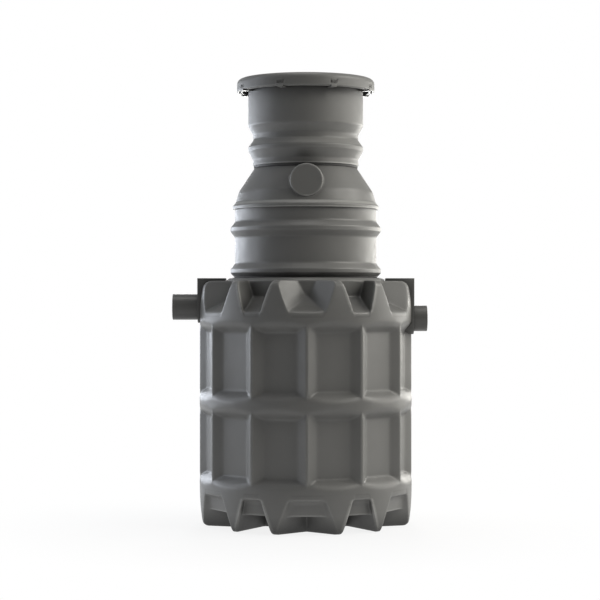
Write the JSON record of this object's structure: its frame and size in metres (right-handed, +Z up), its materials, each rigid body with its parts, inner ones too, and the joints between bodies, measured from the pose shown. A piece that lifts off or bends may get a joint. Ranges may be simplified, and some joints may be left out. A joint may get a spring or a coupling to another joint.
{
  "type": "oil separator",
  "caption": "Below-ground oil separator tank of grey moulded plastic, with ribbed panels, toothed crown and feet, a stepped access shaft, clipped lid, and inlet and outlet pipe ends.",
  "frame": {"origin": "on the tank's axis at ground level, in the middle of the flat underside of the base", "axes": "+Z up along the shaft; -Y is the front, with the blind boss; the inlet leaves along -X and the outlet along +X"},
  "size_m": [1.092, 0.91, 1.904],
  "materials": {
    "tank": "matte moulded polyethylene, mid grey",
    "shaft": "matte moulded polyethylene, mid grey",
    "lid": "matte moulded polyethylene, mid grey, fine grain",
    "clip": "satin grey plastic",
    "pipe": "satin dark grey pipe",
    "pad": "matte dark grey plastic",
    "seal": "black rubber"
  },
  "bodies": {
    "root": {"lid": "lid", "lid_clip_1": "clip", "lid_clip_2": "clip", "lid_clip_3": "clip", "lid_clip_4": "clip", "lid_clip_5": "clip", "lid_clip_6": "clip", "lid_clip_7": "clip", "lid_clip_8": "clip", "lid_gasket": "seal", "upper_riser": "shaft", "riser_seal": "seal", "cone_reducer": "shaft", "lower_shaft": "shaft", "shaft_seal": "seal", "tank_crown": "tank", "tank_wall_1": "tank", "tank_wall_2": "tank", "tank_wall_3": "tank", "tank_wall_4": "tank", "tank_wall_5": "tank", "tank_wall_6": "tank", "tank_base": "tank", "inlet_pad": "pad", "outlet_pad": "pad", "inlet_pipe": "pipe", "outlet_pipe": "pipe"}
  },
  "joints": []
}
